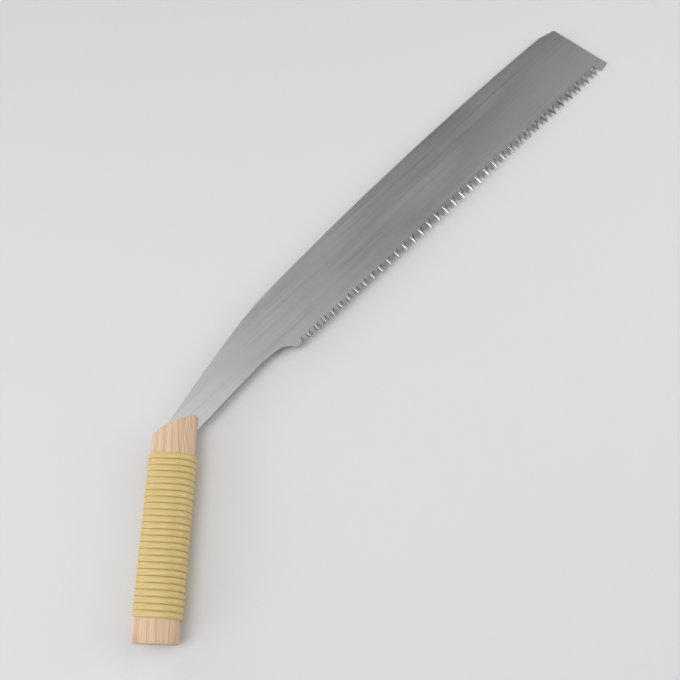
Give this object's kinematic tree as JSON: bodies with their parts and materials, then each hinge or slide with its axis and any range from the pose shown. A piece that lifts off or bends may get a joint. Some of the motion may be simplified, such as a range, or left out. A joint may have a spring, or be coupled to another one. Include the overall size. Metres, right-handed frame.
{
  "type": "pull saw",
  "caption": "Bent-neck pull saw with a long toothed steel blade, a two-part wooden handle and a rattan wrap.",
  "frame": {"origin": "centre of the handle's butt face, on the blade's middle plane", "axes": "+Y along the handle from butt to head, +Z square to the blade's side, +X towards the toothed side"},
  "size_m": [0.3689, 0.5165, 0.0254],
  "materials": {
    "blade_steel": "brushed along the blade",
    "handle_wood": "bare planed softwood",
    "nail_steel": "plain wire",
    "rattan": "glossy natural skin"
  },
  "bodies": {
    "root": {"saw_blade": "blade_steel", "handle_upper_half": "handle_wood", "handle_lower_half": "handle_wood", "tang_nails": "nail_steel", "rattan_wrap": "rattan"}
  },
  "joints": []
}
